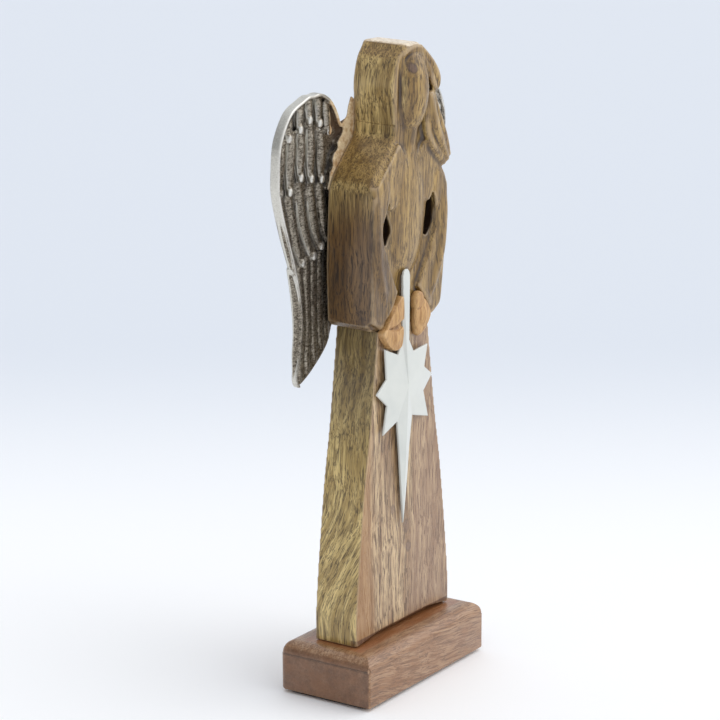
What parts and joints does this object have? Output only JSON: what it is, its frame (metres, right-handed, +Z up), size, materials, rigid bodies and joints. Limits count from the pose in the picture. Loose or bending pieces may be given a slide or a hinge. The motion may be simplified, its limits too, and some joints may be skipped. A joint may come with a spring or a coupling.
{
  "type": "carved wooden figurine",
  "caption": "Robed winged figure carved in wood on a rounded plinth, with cast-metal feathered wings on its back and a long white star in its hands.",
  "frame": {"origin": "centre of the underside, on the surface that the figurine stands on", "axes": "+Z up, the figure faces -Y, +X is the figure's left"},
  "size_m": [0.182, 0.067, 0.4],
  "materials": {
    "pad": "matt foam rubber",
    "plinth_wood": "oiled, warm brown, fine open grain",
    "body_wood": "dark wash rubbed back, olive-brown with short dark pores",
    "dowel_wood": "plain beech",
    "hand_wood": "unstained, smooth",
    "white_enamel": "glossy white enamel",
    "wing_metal": "sand-cast, dark patina in the recesses, polished rim",
    "steel": "zinc plated"
  },
  "bodies": {
    "root": {"base_pad": "pad", "base_block": "plinth_wood", "base_screws": "steel", "robe_block": "body_wood", "waist_dowels": "dowel_wood", "torso_block": "body_wood", "neck_dowel": "dowel_wood", "head_block": "body_wood", "left_hand": "hand_wood", "right_hand": "hand_wood", "hand_pins": "dowel_wood", "star": "white_enamel", "star_pins": "steel", "left_wing": "wing_metal", "right_wing": "wing_metal", "wing_screws": "steel"}
  },
  "joints": []
}
